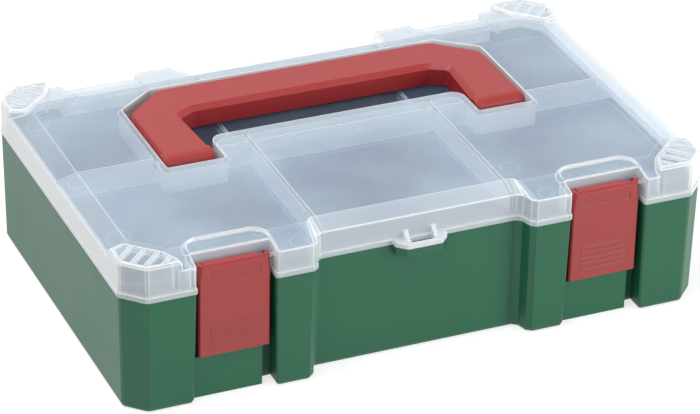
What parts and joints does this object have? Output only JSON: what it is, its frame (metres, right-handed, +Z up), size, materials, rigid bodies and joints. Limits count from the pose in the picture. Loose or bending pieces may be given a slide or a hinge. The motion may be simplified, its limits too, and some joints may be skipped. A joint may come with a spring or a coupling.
{
  "type": "compartment case",
  "caption": "Flat carry case for small parts: green tub with loose bins, clear hinged lid with a folding red handle, and red snap latches on the front.",
  "frame": {"origin": "on the ground, under the middle of the tub's outline", "axes": "+X to the right along the front, -Y to the front with the latches, +Z up"},
  "size_m": [0.311, 0.2033, 0.0813],
  "materials": {
    "tub_green": "satin moulded",
    "lid_clear": "milky clear, gloss",
    "red": "satin moulded",
    "steel": "drawn wire",
    "bin_slate": "satin moulded"
  },
  "bodies": {
    "base": {"base_tub": "tub_green", "hinge_pin_left": "steel", "hinge_pin_right": "steel", "bin_front_left": "bin_slate", "bin_front_middle": "bin_slate", "bin_front_right": "bin_slate", "bin_back_left": "bin_slate", "bin_back_middle": "bin_slate", "bin_back_right": "bin_slate"},
    "lid": {"lid": "lid_clear", "latch_pin_left": "steel", "latch_pin_right": "steel"},
    "handle": {"handle": "red"},
    "latch_left": {"latch_left": "red"},
    "latch_right": {"latch_right": "red"}
  },
  "joints": [
    {"name": "lid_hinge", "type": "hinge", "parent": "base", "child": "lid", "pos_m": [0, 0.1, 0.06195], "axis": [-1, 0, 0], "range_deg": [0, 110]},
    {"name": "handle_lift", "type": "hinge", "parent": "lid", "child": "handle", "pos_m": [0, 0.0038, 0.0746], "axis": [1, 0, 0], "range_deg": [0, 90]},
    {"name": "latch_left_swing", "type": "hinge", "parent": "lid", "child": "latch_left", "pos_m": [-0.0989, -0.0926, 0.0716], "axis": [-1, 0, 0], "range_deg": [0, 95]},
    {"name": "latch_right_swing", "type": "hinge", "parent": "lid", "child": "latch_right", "pos_m": [0.0989, -0.0926, 0.0716], "axis": [-1, 0, 0], "range_deg": [0, 95]}
  ]
}
